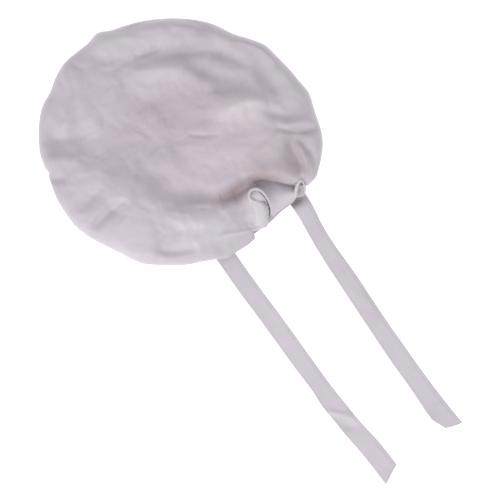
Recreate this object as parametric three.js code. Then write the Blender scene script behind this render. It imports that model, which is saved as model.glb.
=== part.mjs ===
// A silk sleep bonnet lying crown up, with its two ties laid out on the surface that it rests on.
// Millimetres, +Z up. X runs across the head, +Y towards the forehead and -Y towards the nape and the ties.
import * as THREE from "three";
import { mergeVertices } from "three/addons/utils/BufferGeometryUtils.js";

// Driving dimensions of the whole bonnet.
const crownLength = 338; // the longest way across the crown as it lies
const crownBreadth = 294; // the shortest way across
const crownTurn = rad(-43.6); // where the longest way points, from +X
const crownLoft = 36; // the cloth's height over the air that it holds
const rimHeight = 11; // height of the crown's widest line
const cushionShape = { share: 4, round: 0.55 }; // how late and how suddenly the loft falls to that line
const clothWall = 1.2;

// The head opening. All plan places are measured from the crown's centre until the whole part is placed.
const opening = { x: 23, y: -26, halfX: 90, halfY: 62 }; // the loop where crown and band are sewn together
const seamHeight = 21; // height of that loop at the front and sides
const napeSeamHeight = 10.4; // its height between the ties
const bandWidth = 24;
const bandWall = 1.6;
const seamGap = 0.4; // between pieces that are sewn together
const seamLap = 1.5; // how far the crown's edge passes over the band's
const seamSlope = { from: rad(36), over: rad(44) }; // from the nape's middle, where that loop rises
const bandTaper = rad(18); // over this much at each end the band's foot lifts on to the tie

// The ties and the elastic casing between them.
const tieWidth = 23;
const tieWall = 1.6;
const casing = {
  from: rad(-130), // its sewn edge runs between these angles of the opening
  to: rad(-50),
  left: -44.5, // its free edge runs between these places
  right: 91,
  foot: -140.6,
  footZ: 3.8,
  endRise: 7, // how far each end of the free edge curves back
  endFrom: 0.32, // where that curve starts and how long it is, as shares of the casing's length
  endOver: 0.18,
};
const casingStep = { x: 44, soft: 30, drawnIn: 3.8 }; // its free edge is drawn in further beyond this place
const casingArch = { from: 30, soft: 16, to: 70, fall: 14, high: 4.5 }; // it stands higher where it is bare
const casingPleats = { count: 9, high: 1.4, from: 40, soft: 12, down: 0.6, over: 0.3 };

// Between the ties the crown's edge runs in and out again, and leaves the casing bare in the notch.
const nape = { from: rad(-95), to: rad(-51), soft: rad(3) };
const napeEdge = [
  { at: -99, radius: 149 },
  { at: -93, radius: 146 },
  { at: -88.2, radius: 146.5 },
  { at: -86, radius: 145 },
  { at: -84, radius: 140.5 },
  { at: -80, radius: 143 },
  { at: -76.5, radius: 144 },
  { at: -73.5, radius: 139 },
  { at: -68.5, radius: 128 },
  { at: -65.5, radius: 114 },
  { at: -62.5, radius: 103 },
  { at: -60, radius: 109 },
  { at: -57.2, radius: 126 },
  { at: -55.2, radius: 158 },
  { at: -53.4, radius: 162.5 },
  { at: -46, radius: 165.5 },
];
const notchLip = { at: rad(-60), wide: rad(6), rise: 5 }; // the crown's rim stands higher over the notch
const lifted = { from: rad(-114), to: rad(-44), soft: rad(7) }; // here the crown lies over casing and ties
const clearance = 1.4; // between the crown's underside and the casing below it

// The underside, in shares of the way from the crown's edge to the seam with the band.
const underside = { flatFrom: 0.3, riseFrom: 0.55 };
const gathers = { count: 20, high: 5, from: 0.25, over: 0.4, endFrom: 0.8, endOver: 0.2, endShare: 0.75 };
const foldFade = { share: 0.5, power: 10 }; // how much the folds flatten at the edge, and how late
const centreDip = { x: 19, y: -17, wide: 62, deep: 3.5 };

// Small straight runs and corners of the edge: where, how wide (degrees) and how far out (mm).
const edgeBumps = [
  { at: 92, wide: 4, out: 5.0 },
  { at: 110, wide: 5, out: 1.6 },
  { at: 124, wide: 5, out: -3.2 },
  { at: 142, wide: 8, out: -1.4 },
  { at: 160, wide: 9, out: -4.2 },
  { at: -173, wide: 9, out: 3.2 },
  { at: -142, wide: 8, out: 3.4 },
  { at: -110, wide: 11, out: -4.6 },
  { at: -34, wide: 9, out: 3.0 },
  { at: -14, wide: 5, out: 3.0 },
  { at: 13, wide: 5, out: 2.2 },
  { at: 29, wide: 8, out: -4.2 },
];

// Soft folds of the crown, each along a line: its ends, half width and height, below 0 for a valley.
const folds = [
  { x0: -66, y0: 22, x1: -66, y1: -20, wide: 10, high: -3.5 },
  { x0: -66, y0: -20, x1: -41, y1: -65, wide: 12, high: -5 },
  { x0: -41, y0: -65, x1: 3, y1: -84, wide: 11, high: -8 },
  { x0: 3, y0: -84, x1: 26, y1: -84, wide: 9, high: -11 },
  { x0: 26, y0: -84, x1: 40, y1: -88, wide: 7, high: -9 },
  { x0: -133, y0: 78, x1: -111, y1: 63, wide: 9, high: -4 },
  { x0: -104, y0: 61, x1: -111, y1: 34, wide: 11, high: -3 },
  { x0: -149, y0: 65, x1: -134, y1: 49, wide: 5, high: 4 },
  { x0: -153, y0: 55, x1: -140, y1: 36, wide: 5, high: -6 },
  { x0: 13, y0: 110, x1: 53, y1: 74, wide: 11, high: 3 },
  { x0: 53, y0: 74, x1: 79, y1: 36, wide: 11, high: 3.5 },
  { x0: 47, y0: 101, x1: 83, y1: 65, wide: 9, high: -3 },
  { x0: 70, y0: 50, x1: 117, y1: -5, wide: 8, high: -4.5 },
  { x0: 78, y0: 2, x1: 106, y1: -12, wide: 16, high: 3.5 },
  { x0: 92, y0: -26, x1: 119, y1: -50, wide: 8, high: -4 },
  { x0: 117, y0: -53, x1: 146, y1: -76, wide: 7, high: 4 },
  { x0: 111, y0: -60, x1: 148, y1: -87, wide: 5, high: -4 },
  { x0: 108, y0: -72, x1: 107, y1: -99, wide: 7, high: 4 },
  { x0: 116, y0: -92, x1: 103, y1: -124, wide: 8, high: -7 },
  { x0: 100, y0: -66, x1: 82, y1: -98, wide: 9, high: -5 },
  { x0: -135, y0: -31, x1: -98, y1: -20, wide: 7, high: -4 },
  { x0: -88, y0: -96, x1: -57, y1: -105, wide: 8, high: -3 },
];

// Pleats of the gathered nape that stand up: foot, tip, half width, height, and how far each leans to +X.
const pleatEnd = { from: 0.8, over: 0.4 }; // where along its line a pleat dies away
const pleats = [
  { x0: 26, y0: -140, x1: 37, y1: -101, wide: 9, high: 6, lean: 3 },
  { x0: 86, y0: -134, x1: 95, y1: -112, wide: 7, high: 8, lean: -2 },
];

// The ties' middle lines, from the hidden root to the end: place, height above the surface and width there.
const leftTie = [
  { x: -31.5, y: -108, z: underCasing(-31.5, -108), wide: tieWidth },
  { x: -31.5, y: -118, z: underCasing(-31.5, -118), wide: tieWidth },
  { x: -31.5, y: -130, z: underCasing(-31.5, -130), wide: tieWidth },
  { x: -31.5, y: -150, z: 0, wide: tieWidth },
  { x: -31.2, y: -190, z: 0.6, wide: tieWidth },
  { x: -29.6, y: -235, z: 0, wide: tieWidth },
  { x: -28.4, y: -295, z: 0, wide: tieWidth },
  { x: -27.2, y: -335, z: 1.2, wide: tieWidth - 1 },
  { x: -27.0, y: -362, z: 3.2, wide: tieWidth + 1 },
  { x: -23.6, y: -400, z: 1.0, wide: tieWidth + 1 },
  { x: -19.6, y: -432, z: 0, wide: tieWidth + 2 },
  { x: -17.0, y: -476, z: 0, wide: tieWidth + 2 },
];
const rightTie = [
  { x: 78.8, y: -108, z: underCasing(90, -108), wide: tieWidth },
  { x: 78.8, y: -118, z: underCasing(90, -118), wide: tieWidth },
  { x: 78.6, y: -130, z: underCasing(90, -130), wide: tieWidth },
  { x: 78.0, y: -147, z: 0, wide: tieWidth - 0.5 },
  { x: 74.9, y: -175, z: 1.4, wide: tieWidth - 3 },
  { x: 73.0, y: -206, z: 0.4, wide: tieWidth - 2 },
  { x: 72.6, y: -250, z: 0, wide: tieWidth },
  { x: 71.4, y: -310, z: 0.8, wide: tieWidth },
  { x: 71.2, y: -355, z: 0, wide: tieWidth + 1 },
  { x: 71.9, y: -400, z: 0, wide: tieWidth + 1 },
  { x: 72.4, y: -435, z: 0, wide: tieWidth + 3 },
  { x: 74.6, y: -469, z: 0, wide: tieWidth + 4 },
];
// How far each tie's end is cut back from its furthest point, from its left edge to its right edge.
const leftTieCut = [0, 2, 4, 6, 7.5];
const rightTieCut = [20, 6, 3.5, 1.5, 0];

// How finely each piece is divided.
const crownRings = [0, 0.12, 0.25, 0.38, 0.49, 0.58, 0.66, 0.73, 0.79, 0.85, 0.905, 0.95, 0.982];
const undersideRows = 9;
const crownStep = { coarse: rad(5), fine: rad(1.8), fineFrom: rad(-97.6), fineTo: rad(-49) };
const bandGrid = { from: rad(-50), to: rad(230), steps: 54, rows: 3 };
const casingGrid = { steps: 46, rows: 6 };
const tieSteps = 30;
const mergeDistance = 1e-4;

const silk = new THREE.MeshStandardMaterial({
  color: 0xc9c1c8,
  roughness: 0.42,
  metalness: 0,
  side: THREE.DoubleSide,
});
const silkUnderside = silk.clone();
silkUnderside.color.set(0xc2b9c1);

function rad(degrees) {
  return (degrees * Math.PI) / 180;
}

function smooth(t) {
  const s = Math.min(1, Math.max(0, t));
  return s * s * (3 - 2 * s);
}

function mix(a, b, t) {
  return a + (b - a) * t;
}

// An angle as it lies between -180 and 180 degrees.
function wrapped(angle) {
  return Math.atan2(Math.sin(angle), Math.cos(angle));
}

// 1 inside a range of angles and 0 outside it, with soft ends.
function within(angle, range) {
  const a = wrapped(angle);
  const entering = smooth((a - range.from + range.soft) / (2 * range.soft));
  const leaving = smooth((range.to + range.soft - a) / (2 * range.soft));
  return entering * leaving;
}

// Distance of (x, y) from the middle line of a fold or pleat, along it from 0 to 1, and across it.
function beside(x, y, line) {
  const dx = line.x1 - line.x0;
  const dy = line.y1 - line.y0;
  const length = Math.hypot(dx, dy);
  const along = ((x - line.x0) * dx + (y - line.y0) * dy) / (length * length);
  const across = ((x - line.x0) * dy - (y - line.y0) * dx) / length;
  const t = Math.min(1, Math.max(0, along));
  return { along, across, away: Math.hypot(x - line.x0 - t * dx, y - line.y0 - t * dy) };
}

function bell(t) {
  return Math.exp(-t * t);
}

function napeRadius(angle) {
  const at = (wrapped(angle) * 180) / Math.PI;
  const last = napeEdge.length - 2;
  const next = napeEdge.findIndex((row) => row.at > at);
  const i = next < 0 ? last : Math.min(last, Math.max(0, next - 1));
  const a = napeEdge[i];
  const b = napeEdge[i + 1];
  return mix(a.radius, b.radius, smooth((at - a.at) / (b.at - a.at)));
}

// The crown's edge, as a distance from its centre.
function edgeRadius(angle) {
  const c = Math.cos(angle - crownTurn);
  const s = Math.sin(angle - crownTurn);
  const a = crownLength / 2;
  const b = crownBreadth / 2;
  let radius = (a * b) / Math.hypot(b * c, a * s);
  for (const bump of edgeBumps) {
    radius += bump.out * bell(wrapped(angle - rad(bump.at)) / rad(bump.wide));
  }
  return mix(radius, napeRadius(angle), within(angle, nape));
}

function foldHeight(x, y) {
  let high = 0;
  for (const fold of folds) {
    high += fold.high * bell(beside(x, y, fold).away / fold.wide);
  }
  return high;
}

// The y of the opening's nape side at x. Beyond its ends the curve is held level.
function openingFoot(x) {
  const leastSquare = 0.2;
  const across = (x - opening.x) / opening.halfX;
  return opening.y - opening.halfY * Math.sqrt(Math.max(leastSquare, 1 - across * across));
}

// The upper face of the casing: it arches up from its seam and then down to its free edge.
function casingHeight(x, y) {
  const top = openingFoot(x);
  const down = Math.min(1, Math.max(0, (top - y) / (top - casing.foot)));
  const { from, soft, to, fall, high } = casingArch;
  const bare = smooth((x - from) / soft) * smooth((to - x) / fall);
  return mix(napeSeamHeight - clearance, casing.footZ, down) + high * bare * Math.sin(Math.PI * down);
}

// Where a tie's underside lies when the tie is sewn to the underside of the casing.
function underCasing(x, y) {
  return casingHeight(x, y) - clothWall - seamGap - tieWall;
}

// How far the standing pleats carry a point of crown or casing: sideways and up.
function pleatShift(x, y) {
  let side = 0;
  let up = 0;
  for (const pleat of pleats) {
    const at = beside(x, y, pleat);
    const rise = bell(at.across / pleat.wide) * (1 - smooth((at.along - pleatEnd.from) / pleatEnd.over));
    side += pleat.lean * rise;
    up += pleat.high * rise;
  }
  return { side, up };
}

// The upper cloth of the crown over (x, y), at the share rho of the way to its edge.
function topHeight(x, y, rho, angle) {
  const rim = rimHeight + notchLip.rise * bell(wrapped(angle - notchLip.at) / notchLip.wide);
  const fallen = Math.pow(1 - Math.pow(rho, cushionShape.share), cushionShape.round);
  const cushion = rim + (crownLoft - rim) * fallen;
  const dip = centreDip.deep * bell(Math.hypot(x - centreDip.x, y - centreDip.y) / centreDip.wide);
  return cushion - dip + foldHeight(x, y) * (1 - foldFade.share * Math.pow(rho, foldFade.power));
}

function crownTopPoint(angle, rho) {
  const radius = edgeRadius(angle) * rho;
  const x = radius * Math.cos(angle);
  const y = radius * Math.sin(angle);
  const pleat = pleatShift(x, y);
  return new THREE.Vector3(x + pleat.side, y, topHeight(x, y, rho, angle) + pleat.up);
}

// The loop where the crown is sewn to the band, seen from above, drawn in by inset.
function seamPoint(angle, inset) {
  return new THREE.Vector2(
    opening.x + (opening.halfX - inset) * Math.cos(angle),
    opening.y + (opening.halfY - inset) * Math.sin(angle),
  );
}

function seamHeightAt(angle) {
  const fromNape = Math.abs(wrapped(angle + Math.PI / 2));
  return mix(napeSeamHeight, seamHeight, smooth((fromNape - seamSlope.from) / seamSlope.over));
}

// The underside of the crown, from its edge at t = 0 to the seam with the band at t = 1.
function crownUndersidePoint(angle, t) {
  const over = within(angle, lifted);
  const edge = crownTopPoint(angle, 1);
  const rim = topHeight(edge.x, edge.y, 1, angle);
  const inward = 1 - Math.cos((t * Math.PI) / 2);
  const edgeX = edgeRadius(angle) * Math.cos(angle);
  const edgeY = edgeRadius(angle) * Math.sin(angle);
  const seamAngle = Math.atan2(edgeY - opening.y, edgeX - opening.x);
  const seam = seamPoint(seamAngle, seamLap);
  const x = mix(edgeX, seam.x, inward);
  const y = mix(edgeY, seam.y, inward);
  const seamZ = seamHeightAt(seamAngle);
  const floor = (casingHeight(x, y) + clearance) * over;
  const down = Math.sin((Math.min(1, t / underside.flatFrom) * Math.PI) / 2);
  const ruffle = (1 - Math.cos(gathers.count * seamAngle)) / 2;
  const atEnd = gathers.endShare * smooth((t - gathers.endFrom) / gathers.endOver);
  const pinch = smooth((t - gathers.from) / gathers.over) * (1 - atEnd);
  const rise = (seamZ - floor) * smooth((t - underside.riseFrom) / (1 - underside.riseFrom));
  const z = mix(rim, floor, down) + rise + gathers.high * ruffle * pinch * (1 - over);
  const pleat = pleatShift(x, y);
  return new THREE.Vector3(x + pleat.side, y, z + pleat.up);
}

// Triangles over a grid of points, joined round its ends when it wraps.
// Where a row's points fall together they make a fan.
function skin(grid, wraps, flipped, out) {
  const columns = grid[0].length;
  const across = wraps ? columns : columns - 1;
  for (let i = 0; i + 1 < grid.length; i += 1) {
    for (let j = 0; j < across; j += 1) {
      const k = (j + 1) % columns;
      quad(grid[i][j], grid[i][k], grid[i + 1][k], grid[i + 1][j], flipped, out);
    }
  }
}

function quad(a, b, c, d, flipped, out) {
  triangle(a, b, c, flipped, out);
  triangle(a, c, d, flipped, out);
}

function triangle(a, b, c, flipped, out) {
  if (a.equals(b) || b.equals(c) || c.equals(a)) return;
  for (const p of flipped ? [a, c, b] : [a, b, c]) out.push(p.x, p.y, p.z);
}

// The direction away from a sheet's outer face at each of its grid points.
function gridNormals(grid, wraps, pole) {
  const rows = grid.length;
  const columns = grid[0].length;
  const column = (j) => (wraps ? (j + columns) % columns : Math.min(columns - 1, Math.max(0, j)));
  const near = (i, j) => grid[Math.min(rows - 1, Math.max(0, i))][column(j)];
  return grid.map((row, i) =>
    row.map((point, j) => {
      if (pole && i === 0) return new THREE.Vector3(0, 0, 1);
      const down = near(i + 1, j).clone().sub(near(i - 1, j));
      const round = near(i, j + 1).clone().sub(near(i, j - 1));
      return down.cross(round).normalize();
    }),
  );
}

// A closed solid between two grids of the same size: its outer face and its inner face.
function solidBetween(outer, inner, wraps, pole) {
  const out = [];
  const last = outer.length - 1;
  const end = outer[0].length - 1;
  const column = (grid, j) => grid.map((row) => row[j]);
  skin(outer, wraps, true, out);
  skin(inner, wraps, false, out);
  skin([outer[last], inner[last]], wraps, true, out);
  if (!pole) skin([outer[0], inner[0]], wraps, false, out);
  if (!wraps) {
    skin([column(outer, 0), column(inner, 0)], false, true, out);
    skin([column(outer, end), column(inner, end)], false, false, out);
  }
  const geometry = new THREE.BufferGeometry();
  geometry.setAttribute("position", new THREE.Float32BufferAttribute(out, 3));
  const merged = mergeVertices(geometry, mergeDistance);
  merged.computeVertexNormals();
  return merged;
}

// A sheet whose inner face lies one wall thickness behind its outer face.
function sheetSolid(grid, wall, { wraps = false, pole = false } = {}) {
  const normals = gridNormals(grid, wraps, pole);
  const inner = grid.map((row, i) => row.map((p, j) => p.clone().addScaledVector(normals[i][j], -wall)));
  return solidBetween(grid, inner, wraps, pole);
}

// A strip whose lower face lies straight below its upper face, so that it can rest flat.
function stripSolid(grid, wall) {
  const lower = grid.map((row) => row.map((p) => p.clone().setZ(p.z - wall)));
  return solidBetween(grid, lower, false, false);
}

// Angles round the crown, closer together at the nape, where the pleats are.
function crownAngles() {
  const { coarse, fine, fineFrom, fineTo } = crownStep;
  const angles = [];
  for (let a = fineFrom; a < fineTo - fine / 2; a += fine) angles.push(a);
  for (let a = fineTo; a < fineFrom + 2 * Math.PI - coarse / 2; a += coarse) angles.push(a);
  return angles;
}

function crown() {
  const angles = crownAngles();
  const grid = crownRings.map((rho) => angles.map((angle) => crownTopPoint(angle, rho)));
  for (let i = 0; i <= undersideRows; i += 1) {
    grid.push(angles.map((angle) => crownUndersidePoint(angle, i / undersideRows)));
  }
  return sheetSolid(grid, clothWall, { wraps: true, pole: true });
}

// The flat band round the face, from the right tie over the forehead to the left tie.
function frontBand() {
  const { from, to, steps, rows } = bandGrid;
  const grid = [];
  for (let i = 0; i <= rows; i += 1) {
    const down = i / rows;
    const row = [];
    for (let j = 0; j <= steps; j += 1) {
      const angle = mix(from, to, j / steps);
      const nearEnd = 1 - smooth(Math.min(angle - from, to - angle) / bandTaper);
      const top = seamHeightAt(wrapped(angle)) - seamGap - bandWall;
      const foot = mix(0, tieWall + seamGap, nearEnd);
      const lean = Math.sqrt(bandWidth * bandWidth - (top - foot) * (top - foot));
      const point = seamPoint(angle, down * lean);
      row.push(new THREE.Vector3(point.x, point.y, mix(top, foot, down)));
    }
    grid.push(row);
  }
  return sheetSolid(grid, bandWall);
}

// The small pleats of the casing, which show only where it is bare, towards its free edge.
function casingRuffle(x, along, down) {
  const { count, high, from, soft } = casingPleats;
  const to = casing.right - soft;
  const wave = (1 - Math.cos(2 * Math.PI * count * along)) / 2;
  const sideways = smooth((x - from) / soft) * smooth((to - x) / soft);
  return high * wave * sideways * smooth((down - casingPleats.down) / casingPleats.over);
}

// The elastic casing at the nape, drawn up into pleats between the ties.
function napeCasing() {
  const { steps, rows } = casingGrid;
  const grid = [];
  for (let i = 0; i <= rows; i += 1) {
    const down = i / rows;
    const row = [];
    for (let j = 0; j <= steps; j += 1) {
      const along = j / steps;
      const seam = seamPoint(mix(casing.from, casing.to, along), 0);
      const atEnd = smooth((Math.abs(along - 1 / 2) - casing.endFrom) / casing.endOver);
      const x = mix(seam.x, mix(casing.left, casing.right, along), down);
      const drawnIn = casingStep.drawnIn * smooth((x - casingStep.x) / casingStep.soft + 1 / 2);
      const y = mix(seam.y, casing.foot + drawnIn + casing.endRise * atEnd, down);
      const pleat = pleatShift(x, y);
      const z = casingHeight(x, y) + casingRuffle(x, along, down) + pleat.up;
      row.push(new THREE.Vector3(x + pleat.side, y, z));
    }
    grid.push(row);
  }
  return sheetSolid(grid, clothWall);
}

// A tie: a flat doubled strip laid along its middle line, with its end cut as stated.
function tie(stations, cut) {
  const path = new THREE.CatmullRomCurve3(stations.map((s) => new THREE.Vector3(s.x, s.y, s.z)));
  const widths = new THREE.CatmullRomCurve3(stations.map((s) => new THREE.Vector3(s.wide, 0, 0)));
  const length = path.getLength();
  const grid = [];
  for (let i = 0; i <= tieSteps; i += 1) {
    const row = [];
    for (let j = 0; j < cut.length; j += 1) {
      const across = j / (cut.length - 1) - 1 / 2;
      const u = (i / tieSteps) * (1 - cut[j] / length);
      const point = path.getPoint(u);
      const ahead = path.getTangent(u);
      const side = new THREE.Vector3(-ahead.y, ahead.x, 0).normalize();
      point.addScaledVector(side, across * widths.getPoint(u).x);
      row.push(point.setZ(Math.max(0, point.z) + tieWall));
    }
    grid.push(row);
  }
  return stripSolid(grid, tieWall);
}

function piece(name, geometry, material) {
  const mesh = new THREE.Mesh(geometry, material);
  mesh.name = name;
  return mesh;
}

const bonnet = new THREE.Group();
bonnet.add(piece("crown", crown(), silk));
bonnet.add(piece("front_band", frontBand(), silkUnderside));
bonnet.add(piece("nape_casing", napeCasing(), silk));
bonnet.add(piece("left_tie", tie(leftTie, leftTieCut), silk));
bonnet.add(piece("right_tie", tie(rightTie, rightTieCut), silk));
const middle = new THREE.Box3().setFromObject(bonnet).getCenter(new THREE.Vector3());
bonnet.position.set(-middle.x, -middle.y, 0);

export default bonnet;
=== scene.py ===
"""A silk sleep bonnet lying crown up on a pale surface, with its two ties laid out straight."""
import math
from collections import namedtuple

import bpy
import numpy as np
from mathutils import Matrix, Vector


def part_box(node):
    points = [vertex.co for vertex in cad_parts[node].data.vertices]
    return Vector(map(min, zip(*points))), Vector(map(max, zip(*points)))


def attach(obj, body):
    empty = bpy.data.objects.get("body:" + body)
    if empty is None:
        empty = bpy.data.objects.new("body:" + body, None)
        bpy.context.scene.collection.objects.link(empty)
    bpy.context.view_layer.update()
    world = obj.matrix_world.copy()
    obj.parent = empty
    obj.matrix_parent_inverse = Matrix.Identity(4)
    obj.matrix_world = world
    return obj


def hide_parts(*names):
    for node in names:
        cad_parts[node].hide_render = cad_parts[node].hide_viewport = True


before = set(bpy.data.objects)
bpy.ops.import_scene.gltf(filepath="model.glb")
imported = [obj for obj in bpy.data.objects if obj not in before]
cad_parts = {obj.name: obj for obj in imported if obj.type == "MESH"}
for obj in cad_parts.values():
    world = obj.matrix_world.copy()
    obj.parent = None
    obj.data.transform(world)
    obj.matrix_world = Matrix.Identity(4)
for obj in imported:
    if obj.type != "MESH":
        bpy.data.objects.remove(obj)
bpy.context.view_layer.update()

# Lengths are millimetres from the crown's centre, seen from above, and turn into metres when a mesh is made.
MM = 0.001
OPENING_X, OPENING_Y = 23.0, -26.0
OPENING_HALF_X, OPENING_HALF_Y = 90.0, 62.0
band_low, band_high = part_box("front_band")
CENTRE_X = (band_low[0] + band_high[0]) / 2 / MM - OPENING_X
CENTRE_Y = band_high[1] / MM - OPENING_Y - OPENING_HALF_Y

# The crown: a round bag of thin cloth that holds some air.
CROWN_LENGTH = 338.0
CROWN_BREADTH = 294.0
CROWN_TURN = math.radians(-43.6)
CROWN_LOFT = 34.0
CROWN_FALL = {"most": 8.0, "towards": math.radians(-151)}  # how much lower its edge lies, and where
FAR_SWELL = {  # a valley and a ridge along the far edge, at these shares of the way out to it
    "at": math.radians(64), "wide": math.radians(56), "valley": 0.74, "valley_wide": 0.08, "ridge": 0.93,
    "ridge_wide": 0.07, "high": 2.6,
}
EDGE_ROUND = {  # how late the crown falls to its edge: a greater number is later and steeper
    "steep": 18, "steeper_at_notch": 60, "notch_at": math.radians(-69), "notch_wide": math.radians(6),
    "power": 0.55,
}
RIM_HEIGHT = 11.0
CLOTH_WALL = 1.0
SEAM_HEIGHT = 21.0
NAPE_SEAM_HEIGHT = 10.4
SEAM_CLIMB = {"from": 36, "over": 44}  # degrees from the nape
SEAM_GAP = 0.4
SEAM_LAP = 1.5
GATHERS = 44
GATHER_HEIGHT = 5.0
SIDE_TUCK = 0.03  # how far the gathers draw the crown's side in, as a share of the way to the seam
UNDERSIDE = {  # shares of the way from the crown's edge to the seam
    "down_by": 0.3, "tucked_by": 0.2, "climbs_from": 0.5, "pinch_from": 0.2, "pinch_over": 0.4,
    "ease_from": 0.85, "ease_over": 0.15, "eased": 0.6,
}
CLEARANCE = 1.4
LIP_CLEARANCE = 0.6  # how far the crown's edge stays above the casing
BASIN = {"x": 8.5, "y": 3.6, "half_x": 94.0, "half_y": 75.0, "turn": math.radians(-34.7), "deep": 4.5}
BASIN_WALL = {"from": 0.82, "over": 0.34}  # where its wall starts and how wide it is, as shares of its size
NOTCH_LIP = {"at": math.radians(-60), "wide": math.radians(5), "rise": -3.6}

# The band round the face, the casing at the nape and the ties.
BAND_WIDTH = 24.0
BAND_WALL = 1.6
TIE_WALL = 1.6
CASING_WALL = 1.2
BAND = {"from": -50, "to": 230, "steps": 420, "rows": 16, "end_lift_over": 18, "swell": 0.35, "waves": 60}
CASING = {
    "from": -130, "to": -50, "left": -44.5, "right": 91.0, "foot": -140.6, "foot_z": 3.8, "end_rise": 7.0,
    "end_from": 0.32, "end_over": 0.18, "steps": 300, "rows": 48,
}
LEAST_ROOT = 0.2  # keeps a square root real past the opening's ends
BARE = {  # its bare part: how it arches up from the crease and climbs beside the finger's rim
    "rise": 7.5, "lean": 1.25, "foot": -138.0, "left_soft": 2.5, "right": 94, "right_soft": 16,
    "lip_rise": 4.5, "lip_wide": 7, "lip_soft": 8, "crease_deep": 0.2, "crease_wide": 7,
}
CREASE = [(46, -92), (50, -93), (57, -96), (68, -104), (79, -116), (88, -126)]  # where crown and casing meet
CASING_STEP = {"x": 44.0, "soft": 30.0, "drawn_in": 3.8}

# Straight runs and corners of the crown's edge: degrees, degrees, millimetres outwards.
EDGE_BUMPS = [
    (92, 4, 5.0), (110, 5, 1.6), (124, 5, -3.2), (142, 8, -1.4), (160, 9, -4.2), (-173, 9, 3.2),
    (-142, 8, 3.4), (-110, 11, -4.6), (-34, 9, 3.0), (-14, 5, 3.0), (13, 5, 2.2), (29, 8, -4.2),
    (158.5, 1.2, -2.4),
]

# Between the ties the edge runs in and out again and leaves the casing bare in the notch.
NAPE_SPAN = (-100, -51, 3)  # degrees: from, to and softness
NAPE_EDGE = [  # degrees, distance from the centre
    (-104, 146), (-97.4, 147.6), (-91, 147.4), (-86.6, 146.4), (-84.4, 139.0), (-81.7, 141.7),
    (-78.5, 145.2), (-76.5, 143.4), (-74.6, 139.0), (-72.6, 136.0), (-70.6, 132.4), (-69.4, 129.0),
    (-68.0, 125.5), (-67.0, 120.5), (-66.3, 114.0), (-65.7, 107.5), (-65.0, 103.6), (-63.6, 102.8),
    (-61.8, 104.4), (-59.1, 111.5), (-56.8, 124), (-55.6, 140), (-54.6, 150), (-53.2, 162),
    (-46, 165.5),
]
LIFTED_SPAN = (-114, -44, 7)

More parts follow.
